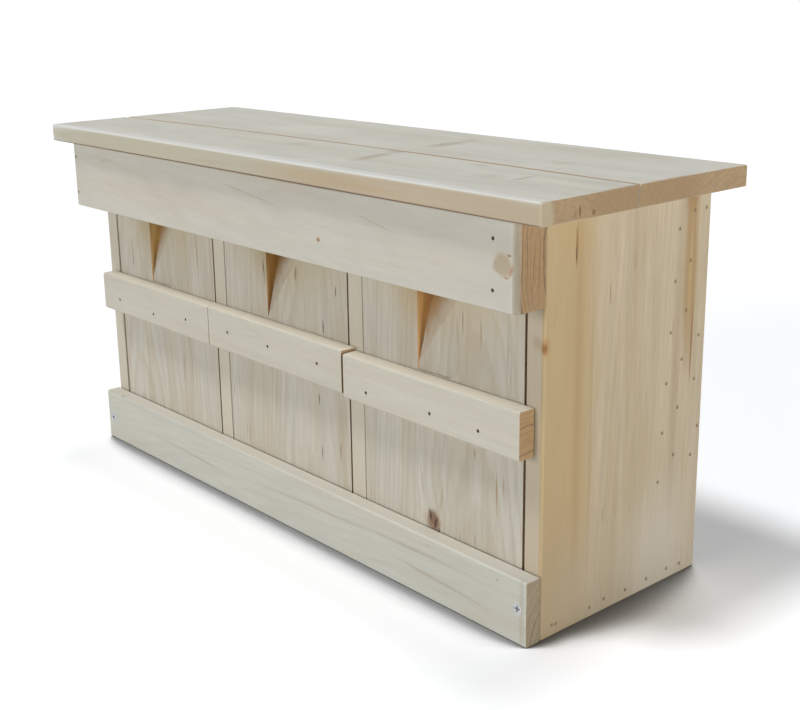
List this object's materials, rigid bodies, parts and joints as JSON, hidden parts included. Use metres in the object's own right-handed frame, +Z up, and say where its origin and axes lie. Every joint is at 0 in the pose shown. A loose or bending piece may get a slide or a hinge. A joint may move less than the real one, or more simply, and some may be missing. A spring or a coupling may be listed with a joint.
{
  "type": "sparrow nest box",
  "caption": "Long low wooden nest box for sparrows, with separate chambers side by side, lift-out doors with sloping entrance cuts and perch bars, and a flat roof.",
  "frame": {"origin": "on the ground, under the middle of the whole box with its roof", "axes": "+X along the front, to the right as seen by someone facing the doors; +Y from the doors to the back; +Z up"},
  "size_m": [0.439, 0.1474, 0.22],
  "materials": {
    "pale_wood": "planed softwood, untreated",
    "door_wood": "planed softwood, untreated",
    "side_wood": "planed softwood, untreated",
    "inner_wood": "sawn softwood, untreated",
    "nail_steel": "dull, sunk heads",
    "screw_steel": "zinc plated"
  },
  "bodies": {
    "case": {"side_panel_left": "side_wood", "side_panel_right": "side_wood", "floor_board": "inner_wood", "back_board_lower": "inner_wood", "back_board_upper": "inner_wood", "divider_left": "inner_wood", "divider_right": "inner_wood", "corner_batten_left": "inner_wood", "corner_batten_right": "inner_wood", "roof_board_front": "pale_wood", "roof_board_back": "pale_wood", "fascia_board": "pale_wood", "side_nails_left": "nail_steel", "side_nails_right": "nail_steel", "fascia_nails": "nail_steel", "roof_nails": "nail_steel", "back_nails": "nail_steel", "floor_nails": "nail_steel"},
    "door_left": {"door_panel_left": "door_wood", "perch_bar_left": "pale_wood", "perch_nails_left": "nail_steel"},
    "door_middle": {"door_panel_middle": "door_wood", "perch_bar_middle": "pale_wood", "perch_nails_middle": "nail_steel"},
    "door_right": {"door_panel_right": "door_wood", "perch_bar_right": "pale_wood", "perch_nails_right": "nail_steel"},
    "rail": {"bottom_rail": "pale_wood", "rail_screws": "screw_steel"}
  },
  "joints": [
    {"name": "door_left_lift", "type": "slide", "parent": "case", "child": "door_left", "axis": [0, 0, 1], "range_m": [0, 0.024]},
    {"name": "door_middle_lift", "type": "slide", "parent": "case", "child": "door_middle", "axis": [0, 0, 1], "range_m": [0, 0.024]},
    {"name": "door_right_lift", "type": "slide", "parent": "case", "child": "door_right", "axis": [0, 0, 1], "range_m": [0, 0.024]},
    {"name": "rail_release", "type": "slide", "parent": "case", "child": "rail", "axis": [0, -1, 0], "range_m": [0, 0.03]}
  ]
}
